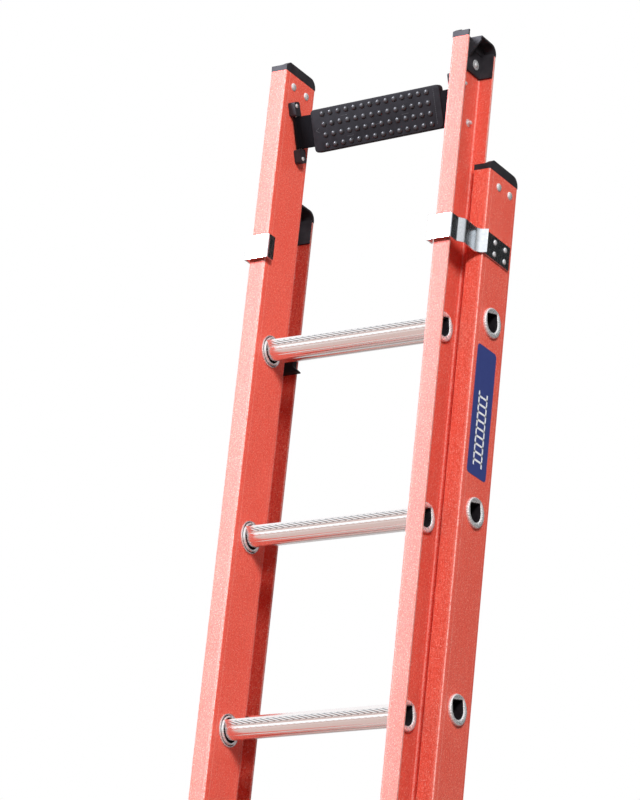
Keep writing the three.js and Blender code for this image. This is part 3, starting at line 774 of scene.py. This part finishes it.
def rung_mesh(name, inner, outer):
    """One rung about its own centre: ribbed tube, twisted sides, stepped collars and swaged lips."""
    shape = Shape()
    span = inner - 2
    tube(shape, span, outer)
    for front in (-1, 1):
        for low, high, base, wave in TWIST_BANDS:
            twist_band(shape, span - 5, front, low, high, base, wave)
    for end in (-1, 1):
        collar(shape, end, inner)
        swaged_lip(shape, end, outer)
    mesh = bpy.data.meshes.new(name)
    mesh.from_pydata([tuple(c * MM for c in v) for v in shape.verts], [], shape.faces)
    mesh.polygons.foreach_set("material_index", shape.slots)
    for material in (RUNG_METAL, BORE_SHADE, COLLAR_METAL, SATIN_METAL):
        mesh.materials.append(material)
    trough = mesh.attributes.new("trough", "FLOAT", "POINT")
    trough.data.foreach_set("value", [shape.painted_shade.get(i, 0.0) for i in range(len(shape.verts))])
    return mesh


def build_rungs():
    for section, inner, outer, depth, top in (
        ("fly", FLY_INNER, FLY_OUTER, FLY_WEB, FLY_RUNG_TOP),
        ("base", BASE_INNER, BASE_OUTER, BASE_WEB, RUNGS * PITCH),
    ):
        shared = rung_mesh(f"{section}_rung", inner, outer)
        for i, height in enumerate(rung_heights(top)):
            node = f"{section}_rung_{i + 1}"
            made = place(f"{node}_ribbed", shared.copy(), section, smooth=38)
            made.location = row((0, depth, height))
            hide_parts(node)


# ---- rivets and screws ---------------------------------------------------------------------------

# Turned heads as radius and height, from below the surface they sit on.
DOME = [
    (0, -1.0), (5.2, -1.0), (5.4, 0.0), (5.3, 0.5), (4.7, 1.3),
    (3.6, 2.1), (2.0, 2.6), (0.6, 2.8), (0, 2.8),
]
WASHER = [(0, -0.4), (8.0, -0.4), (8.2, 0.0), (8.0, 0.9), (6.2, 1.0), (5.0, 1.2), (0, 1.2)]
NUT = [(0, -0.2), (3.0, -0.2), (3.0, 5.2), (2.4, 5.9), (0, 5.9)]
STUD = [(0, -0.8), (4.1, -0.8), (4.1, 0.0), (3.9, 0.7), (3.3, 1.5), (2.3, 2.1), (1.1, 2.4), (0, 2.5)]


def knob(shape, profile, axis, at, way=1, scale=1.0, steps=20):
    """Adds a turned head whose base sits at a point and whose crown points along the axis."""
    turned = [(r * scale, h * scale * way) for r, h in profile]
    return shape.lathe(turned, axis, at, steps)


# ---- caps ----------------------------------------------------------------------------------------

# A cap over its rail: across from the web, in depth from the rail's front, in height from its end.
CAP_FRONT = 9.5
CAP_GAP = 0.1
BAND = 9
HOOD_FROM = 38
HOOD_WALL = 3
LINER = 3
LINER_DROP = -37
GUSSET_AT = (36.5, 39.5)
CAP_RIVETS = {"fly": (24, 60), "base": (29, 62)}
CAP_RIVET_DROP = 20


def cap_profile():
    """The cap's arch in (Y, Z) over the rail's top end: lower at the front, rounded at the rear."""
    outline = [
        (0, CAP_GAP), (RAIL_DEPTH, CAP_GAP), (RAIL_DEPTH, CAP_RISE), (CAP_FRONT, CAP_RISE), (0, CAP_FRONT),
    ]
    return rounded(outline, [0, 0, 14, 2.0, 0.8], 8)


def hood_profile():
    """The part of the arch behind HOOD_FROM, as a shell HOOD_WALL thick."""
    crest = {(round(y, 3), round(z, 3)) for y, z in cap_profile() if z > 2 * CAP_GAP}
    back = sorted((p for p in crest if p[0] > HOOD_FROM), key=lambda p: (p[0], -p[1]))
    arch = [(HOOD_FROM, CAP_RISE)] + back + [(RAIL_DEPTH, CAP_GAP)]
    inner = [
        (y - HOOD_WALL if y > 70 else y, z - HOOD_WALL if y < RAIL_DEPTH - 1 else z) for y, z in arch[::-1]
    ]
    return arch + inner


def top_cap(section, side, sign):
    """Moulded cap: web-side band, rear hood, front flap, gusset and the liners that grip the rail."""
    fly = section == "fly"
    web = FLY_INNER if fly else BASE_OUTER
    out = sign if fly else -sign
    front = 0 if fly else BASE_SETBACK
    top = FLY_TOP if fly else BASE_TOP
    shift = Matrix.Translation((0, front, top))

    def across(a, b):
        return sorted((sign * web + out * a, sign * web + out * b))

    def placed(profile):
        return [(sign * web + out * u, v) for u, v in profile]

    inside = WALL + GAP
    rear = RAIL_DEPTH - inside
    lip = RAIL_WIDTH - 0.4
    near = BAND - 0.2
    flap = [(near, CAP_GAP), (RAIL_WIDTH - 0.6, CAP_GAP), (RAIL_WIDTH + 0.2, CAP_FRONT), (near, CAP_FRONT)]
    gusset = [(inside, -20), (lip, 8), (lip, 14), (inside, CAP_RISE - 0.5)]
    shape = Shape()
    shape.prism(cap_profile(), "X", *across(0, BAND), move=shift)
    shape.prism(hood_profile(), "X", *across(BAND - 1, RAIL_WIDTH), move=shift)
    shape.prism(placed(flap), "Y", 0.0, LINER, move=shift)
    shape.prism(placed(gusset), "Y", *GUSSET_AT, move=shift)
    shape.box(across(inside, inside + LINER), (inside, rear), (LINER_DROP, CAP_FRONT), move=shift)
    shape.box(across(inside, lip), (rear - LINER, rear), (LINER_DROP, 3), move=shift)
    shape.box(across(inside, RAIL_WIDTH - 3), (inside, inside + LINER), (-18, 8.5), move=shift)
    shape.box(across(inside, RAIL_WIDTH - 3), (2.5, inside + 1), (CAP_GAP, 8.5), move=shift)
    node = f"{section}_cap_{side}"
    make(f"{node}_moulding", shape, PLASTIC, section, [node], bevel=0.7)
    cap_rivets(node, section, sign * web, out, front, top - CAP_RIVET_DROP, inside + LINER)


def cap_rivets(node, section, web, out, front, height, plate):
    """Two rivets through the web. The rear one has a washered head on the cap's liner too."""
    heads = Shape()
    near, far = CAP_RIVETS[section]
    for depth in (near, far):
        knob(heads, DOME, "X", (web, front + depth, height), -out, 1.2)
    knob(heads, WASHER, "X", (web + out * plate, front + far, height), out)
    knob(heads, DOME, "X", (web + out * (plate + 1.0), front + far, height), out, 0.8)
    make(f"{node}_rivets", heads, BOLT_METAL, section)


def build_caps():
    for side, sign in SIDES:
        top_cap("fly", side, sign)
        top_cap("base", side, sign)
        refine(f"fly_bottom_cap_{side}", PLASTIC, "fly", 0.8)


# ---- guide brackets ------------------------------------------------------------------------------

STRIP = 2.5
BEND_RADII = [1.6, 1.6, 4.5, 6.5, 12.5, 1.8]
GUIDE_RIVETS = (93, 123)
GUIDE_RIVET_RISE = 9.5


def guide_bracket(side, sign):
    """A zinc strip riveted to the base's web, hooked round the fly's front flange."""
    low, high = (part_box(f"guide_bracket_{side}")[i][2] / MM for i in (0, 1))
    half = STRIP / 2
    edge = FLY_INNER + RAIL_WIDTH + 4.3
    base = BASE_SETBACK - GAP - half
    web = BASE_OUTER + GAP + half
    path = [
        (FLY_INNER - 7, 9), (FLY_INNER - 7, -6.8), (edge, -6.8), (edge, 11), (edge + 8, 21),
        (edge + 6.2, base), (web, base), (web, BASE_SETBACK + RAIL_DEPTH - 10),
    ]
    line = bend(path, BEND_RADII, 8)
    outline = [(sign * x, y) for x, y in strip(line, STRIP)]
    shape = Shape().prism(outline, "Z", low, high)
    node = f"guide_bracket_{side}"
    make(f"{node}_strip", shape, ZINC, "base", [node], bevel=0.35)
    heads = Shape()
    middle = (low + high) / 2
    for depth in GUIDE_RIVETS:
        for rise in (-GUIDE_RIVET_RISE, GUIDE_RIVET_RISE):
            knob(heads, DOME, "X", (sign * (web + half), depth, middle + rise), sign, 0.78)
    make(f"{node}_rivets", heads, BOLT_METAL, "base")


def build_guides():
    for side, sign in SIDES:
        guide_bracket(side, sign)
        refine(f"guide_block_{side}", PLASTIC, "base", 0.8)


# ---- pole strap ----------------------------------------------------------------------------------

STRAP_DEPTH = 42.5
STRAP_RISE = 367
STRAP_PLACE = Matrix.Translation((0, STRAP_DEPTH, FLY_RUNG_TOP + STRAP_RISE))
STRAP_AT = STRAP_PLACE @ Matrix.Rotation(STRAP_TILT, 4, "X")
PAD_DEPTH = 3
PAD_HALF = 6
PAD_SIZE = (234, 67)
PAD_CORNER = 6.5
PAD_CROWN = ((-6, 1.8), (-5.6, 0.7), (-4.6, 0.1), (0, 0), (4.6, 0.1), (5.6, 0.7), (6, 1.8))
PAD_ASKEW = math.radians(1.1)
# The studs' rows on the sleeve, its raised marks' corners, its row of ticks and its arrow.
STUD_ROWS, STUDS = 4, 14
STUD_PITCH = (14.55, 16.6)
STUD_FIRST = -94
STUD_SHIFT = 0.9
MARKS = ((-62, 8), (-56, -25), (-14, 17), (-8, -16), (40, 24), (46, -9))
TICKS = 17
ARROW = [(-110, 0), (-103, 5), (-103, 4), (-108.4, 0), (-103, -4), (-103, -5)]
PIN = (143.4, -2)
PIN_EYE = 4.1
WEB_HALF = 25
WEB_THICK = 1.9


def pad_outline(inset):
    x, z = PAD_SIZE[0] / 2 - inset, PAD_SIZE[1] / 2 - inset
    return rounded([(-x, -z), (x, -z), (x, z), (-x, z)], PAD_CORNER - inset * 0.5, 6)


def build_pad():
    """The rubber sleeve: a crowned slab, front and back with rows of studs, marks, ticks and an arrow."""
    shape = Shape()
    loops = []
    move = STRAP_AT @ Matrix.Rotation(-PAD_ASKEW, 4, "Y")
    for y, inset in PAD_CROWN:
        loops.append([(u, PAD_DEPTH + y, v) for u, v in pad_outline(inset)])
    shape.loft(loops, move=move)
    for line in range(STUD_ROWS):
        for i in range(STUDS):
            u = STUD_FIRST + i * STUD_PITCH[0] + STUD_SHIFT * (line - 1.5)
            v = (1.5 - line) * STUD_PITCH[1]
            for face in (-1, 1):
                stud = Shape()
                knob(stud, STUD, "Y", (u, PAD_DEPTH + face * PAD_HALF, v), face, 1.08, 16)
                shape.add(stud.verts, stud.faces, 1, move)
    for face in (-1, 1):
        y = PAD_DEPTH + face * PAD_HALF
        ys = sorted((y - face * 0.5, y + face * 0.35))
        for u, v in MARKS:
            shape.box((u, u + 13), ys, (v + 7.6, v + 8.3), 1, move)
        for k in range(TICKS):
            v = -26 + k * 3.25
            shape.box((105.5, 106.7), ys, (v, v + 1.6), 1, move)
        shape.prism(ARROW, "Y", *ys, 1, move)
    make("strap_pad_studded", shape, [RUBBER, WORN_RUBBER], "fly", ["strap_pad"], smooth=50)


def build_webbing():
    """A strap looped round both pins. Its ends are sewn inside the pad."""
    x, y = PIN
    turns = [math.radians(d) for d in range(120, -155, -15)]
    eye = [(x + PIN_EYE * math.cos(a), y + PIN_EYE * math.sin(a)) for a in turns]
    knee = (PAD_SIZE[0] / 2 - 3, PAD_DEPTH + 0.6)
    line = [(0, PAD_DEPTH), knee] + eye + [(x - 10, y - 1.2), (knee[0] - 3, PAD_DEPTH - 2.4)]
    line = [(-u, v) for u, v in line[:0:-1]] + line
    outline = strip(line, WEB_THICK)
    heights = (-WEB_HALF, -WEB_HALF + 0.4, WEB_HALF - 0.4, WEB_HALF)
    loops = [[(u, w, v) for u, w in outline] for v in heights]
    shape = Shape().loft(loops, move=STRAP_AT)
    strap = make("strap_webbing_woven", shape, WEBBING, "fly", ["strap_webbing"], smooth=50)


# The screws on the lugs and their nuts on the webs: depth, and height above and below the strap.
LUG_SCREW = (-6.0, 41.5)
LUG_BOLT = (5.2, 30.0)
LUG_FACE = FLY_INNER - 12.3


def build_strap():
    build_pad()
    build_webbing()
    heads = Shape()
    for side, sign in SIDES:
        for level in ("upper", "lower"):
            refine(f"strap_lug_{level}_{side}", PLASTIC, "fly", 1.2)
        refine(f"strap_pin_{side}", BOLT_METAL, "fly", 0.5)
        for rise in (1, -1):
            spot = STRAP_AT @ Vector((sign * LUG_FACE, LUG_SCREW[0], rise * LUG_SCREW[1]))
            knob(heads, DOME, "X", tuple(spot), -sign, 0.62)
            back = STRAP_AT @ Vector((sign * FLY_OUTER, LUG_BOLT[0], rise * LUG_BOLT[1]))
            knob(heads, WASHER, "X", tuple(back), sign, 0.75)
            knob(heads, DOME, "X", (back.x + sign * 0.9, back.y, back.z), sign, 0.7)
            knob(heads, NUT, "X", tuple(back), sign)
    make("strap_screws", heads, BOLT_METAL, "fly")


# ---- label ---------------------------------------------------------------------------------------

LABEL_CORNER = 6
MARK_FOOT, MARK_HEAD = 16, 132
MARK_HALF = 13
MARK_RAIL = 3.4
MARK_RUNGS = 9
MARK_FIRST = 7
MARK_STEP = 12.4
MARK_BAR = 3.2


def build_label():
    """A plain blue sticker with a ladder pictogram. It carries no lettering."""
    low, high = ([c / MM for c in corner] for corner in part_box("label"))
    y0, y1 = low[1] - FRONT / MM, high[1] - FRONT / MM
    z0, z1 = low[2], high[2]
    face = BASE_OUTER + 0.55
    outline = rounded([(y0, z0), (y1, z0), (y1, z1), (y0, z1)], LABEL_CORNER, 6)
    make("label_sticker", Shape().prism(outline, "X", BASE_OUTER + 0.02, face), LABEL_BLUE, "base",
         ["label"])
    mark = Shape()
    middle = (y0 + y1) / 2
    xs = (face - 0.1, face + 0.06)
    foot, head = z0 + MARK_FOOT, z0 + MARK_HEAD
    for y in (middle - MARK_HALF, middle + MARK_HALF - MARK_RAIL):
        mark.box(xs, (y, y + MARK_RAIL), (foot, head))
    for k in range(MARK_RUNGS):
        z = foot + MARK_FIRST + MARK_STEP * k
        mark.box(xs, (middle - MARK_HALF, middle + MARK_HALF), (z, z + MARK_BAR))
    make("label_pictogram", mark, LABEL_WHITE, "base")


# ---- locks and feet ------------------------------------------------------------------------------


def build_locks():
    for side, _ in SIDES:
        refine(f"lock_body_{side}", CAST_METAL, "fly", 1.0)
        refine(f"lock_pin_{side}", BOLT_METAL, "fly", 0.5)
        refine(f"lock_spring_{side}", BOLT_METAL, "fly", 0.0)
        refine(f"lock_hook_{side}", CAST_METAL, f"hook_{side}", 1.0)
        refine(f"lock_tongue_{side}", CAST_METAL, f"tongue_{side}", 0.4)


FOOT_RIVETS = (215, 135)
FOOT_RIVET_APART = 14
FOOT_PLATE = 5.1


def build_feet():
    for side, sign in SIDES:
        refine(f"foot_bracket_{side}", CAST_METAL, "base", 0.7)
        refine(f"foot_bolt_{side}", BOLT_METAL, "base", 0.6)
        refine(f"foot_shoe_{side}", CAST_METAL, f"foot_{side}", 0.8)
        refine(f"foot_sole_{side}", RUBBER, f"foot_{side}", 0.6)
        heads = Shape()
        for z in FOOT_RIVETS:
            for y in (BASE_WEB - FOOT_RIVET_APART, BASE_WEB + FOOT_RIVET_APART):
                knob(heads, DOME, "X", (sign * BASE_OUTER, y, z), sign)
                knob(heads, DOME, "X", (sign * (BASE_INNER - FOOT_PLATE), y, z), -sign)
        make(f"foot_bracket_{side}_rivets", heads, BOLT_METAL, "base")


# ---- stage ---------------------------------------------------------------------------------------

# The camera, in millimetres and radians.
CAMERA_AT = (2949.39, -4324.73, FLY_RUNG_TOP - 2124.0)
YAW, PITCH_UP, ROLL = 0.6019183, 0.3663919, 0.1057367
LENS = 170.55

# The lights, in metres.
LIT_POINT = (0, 0, 2.6)
KEY_AT = (-3.6, -6.2, 5.7)
KEY_SIZE = (2.2, 3.4)
KEY_POWER = 1260
KEY_COLOUR = (0.92, 0.95, 1.08)
FILL_AT = (4.4, -4.8, 5.4)
FILL_SIZE = (1.8, 1.8)
BACK_AT = (-2.8, 5.4, 3.6)
BACK_SIZE = (4.0, 4.0)
BACK_POWER = 110
SOFT_LIGHT = 0.19
BRIGHT_SIDE = (-0.62, -0.72, 0.30)
DARK_PATCH = (0.53, 0.77, 0.36)
FLOOR_TINT = (0.62, 0.47, 0.43, 1)
WHITE = (1, 1, 1, 1)
FLOOR_REACH = 60
FLOOR_GLOW = 0.70


def build_camera():
    """Low, from the climber's right, looking up at the ladder's head."""
    level = math.cos(PITCH_UP)
    ahead = Vector((-math.sin(YAW) * level, math.cos(YAW) * level, math.sin(PITCH_UP)))
    right = Vector((math.cos(YAW), math.sin(YAW), 0))
    up = right.cross(ahead)
    across = right * math.cos(ROLL) + up * math.sin(ROLL)
    above = up * math.cos(ROLL) - right * math.sin(ROLL)
    camera = bpy.data.cameras.new("camera")
    camera.sensor_width = 36
    camera.lens = LENS
    camera.clip_end = 200
    seen = bpy.data.objects.new("camera", camera)
    turn = Matrix((across, above, -ahead)).transposed().to_4x4()
    seen.matrix_world = Matrix.Translation(Vector(row(CAMERA_AT))) @ turn
    bpy.context.scene.collection.objects.link(seen)
    bpy.context.scene.camera = seen


def area_light(name, at, size, power, glossy=False):
    light = bpy.data.lights.new(name, "AREA")
    light.shape = "RECTANGLE"
    light.size, light.size_y = size
    light.energy = power
    made = bpy.data.objects.new(name, light)
    made.location = at
    made.rotation_euler = (Vector(LIT_POINT) - Vector(at)).to_track_quat("-Z", "Y").to_euler()
    made.visible_glossy = glossy
    bpy.context.scene.collection.objects.link(made)
    return made


def choose_receivers(light, words, state):
    """Keeps a light off the pieces whose names hold one of the words, or on them alone."""
    listed = bpy.data.collections.new(f"{light.name}_{state.lower()}")
    for piece in bpy.context.scene.objects:
        if any(word in piece.name for word in words):
            listed.objects.link(piece)
    light.light_linking.receiver_collection = listed
    for entry in listed.collection_objects:
        entry.light_linking.link_state = state


def build_lights():
    """A key, kept out of the polished rungs' reflections, a fill, weaker on two rails, and a back light."""
    for name, state, glossy in (("key", "EXCLUDE", True), ("rung_key", "INCLUDE", False)):
        key = area_light(name, KEY_AT, KEY_SIZE, KEY_POWER, glossy)
        key.data.color = KEY_COLOUR
        choose_receivers(key, ["rung"], state)
    for name, power, words, state in (
        ("fill", 530, ["base_rail_left", "fly_rail_right"], "EXCLUDE"),
        ("channel_fill", 400, ["fly_rail_right"], "INCLUDE"),
        ("far_fill", 125, ["base_rail_left"], "INCLUDE"),
    ):
        fill = area_light(name, FILL_AT, FILL_SIZE, power)
        choose_receivers(fill, words, state)
    area_light("back", BACK_AT, BACK_SIZE, BACK_POWER)


def build_world():
    """White to the eye. Reflections see a bright front left, a dark patch rear right and a warm floor."""
    world = bpy.data.worlds.new("studio")
    world.use_nodes = True
    tree = world.node_tree
    tree.nodes.clear()
    new, link = tree.nodes.new, tree.links.new
    coords = new("ShaderNodeTexCoord").outputs["Generated"]

    def toward(direction, low, high, dim, bright):
        facing = new("ShaderNodeVectorMath")
        facing.operation = "DOT_PRODUCT"
        facing.inputs[1].default_value = Vector(direction).normalized()
        link(coords, facing.inputs[0])
        span = new("ShaderNodeMapRange")
        span.interpolation_type = "SMOOTHSTEP"
        for key, value in (("From Min", low), ("From Max", high), ("To Min", dim), ("To Max", bright)):
            span.inputs[key].default_value = value
        link(facing.outputs["Value"], span.inputs["Value"])
        return span.outputs["Result"]

    def blend(kind, factor, first, second):
        node = new("ShaderNodeMix")
        node.data_type = kind
        sockets = {"FLOAT": (0, 2, 3), "RGBA": (0, 6, 7)}[kind]
        for index, value in zip(sockets, (factor, first, second)):
            if isinstance(value, bpy.types.NodeSocket):
                link(value, node.inputs[index])
            else:
                node.inputs[index].default_value = value
        return node.outputs[{"FLOAT": 0, "RGBA": 2}[kind]]

    wide = toward(BRIGHT_SIDE, -0.75, 0.35, 0.42, 1.12)
    patch = toward(DARK_PATCH, 0.80, 0.95, 1.0, 0.04)
    product = new("ShaderNodeMath")
    product.operation = "MULTIPLY"
    link(wide, product.inputs[0])
    link(patch, product.inputs[1])
    sides = product.outputs["Value"]
    above = toward((0, 0, 1), -0.42, -0.06, 0.0, 1.0)
    mirrored_colour = blend("RGBA", above, FLOOR_TINT, WHITE)
    rays = new("ShaderNodeLightPath").outputs
    level = blend("FLOAT", rays["Is Glossy Ray"], SOFT_LIGHT, sides)
    level = blend("FLOAT", rays["Is Camera Ray"], level, 1.0)
    colour = blend("RGBA", rays["Is Glossy Ray"], WHITE, mirrored_colour)
    colour = blend("RGBA", rays["Is Camera Ray"], colour, WHITE)
    sky = new("ShaderNodeBackground")
    link(colour, sky.inputs["Color"])
    link(level, sky.inputs["Strength"])
    link(sky.outputs[0], new("ShaderNodeOutputWorld").inputs["Surface"])
    bpy.context.scene.world = world


def build_floor():
    """A pale floor. It glows a little, so that it stays pale away from the lights."""
    floor = Nodes("floor").set(Roughness=0.8, Specular_IOR_Level=0.1, Emission_Strength=FLOOR_GLOW)
    grain = floor.ramp(floor.noise(3, 4), 0.3, 0.7)
    floor.colour(floor.mix(grain, (0.52, 0.52, 0.52), (0.55, 0.55, 0.55)))
    mesh = bpy.data.meshes.new("floor")
    far = FLOOR_REACH
    mesh.from_pydata([(-far, -far, 0), (far, -far, 0), (far, far, 0), (-far, far, 0)], [], [(0, 1, 2, 3)])
    mesh.materials.append(floor.material)
    made = bpy.data.objects.new("floor", mesh)
    made.visible_glossy = False
    made.visible_diffuse = False
    bpy.context.scene.collection.objects.link(made)


def set_tone():
    """Plain colours, with nothing pushed or graded."""
    view = bpy.context.scene.view_settings
    view.view_transform = "Standard"
    view.look = "None"
    view.exposure = 0.0


build_camera()
build_rails()
build_rungs()
build_caps()
build_guides()
build_strap()
build_label()
build_locks()
build_feet()
build_floor()
build_lights()
build_world()
set_tone()
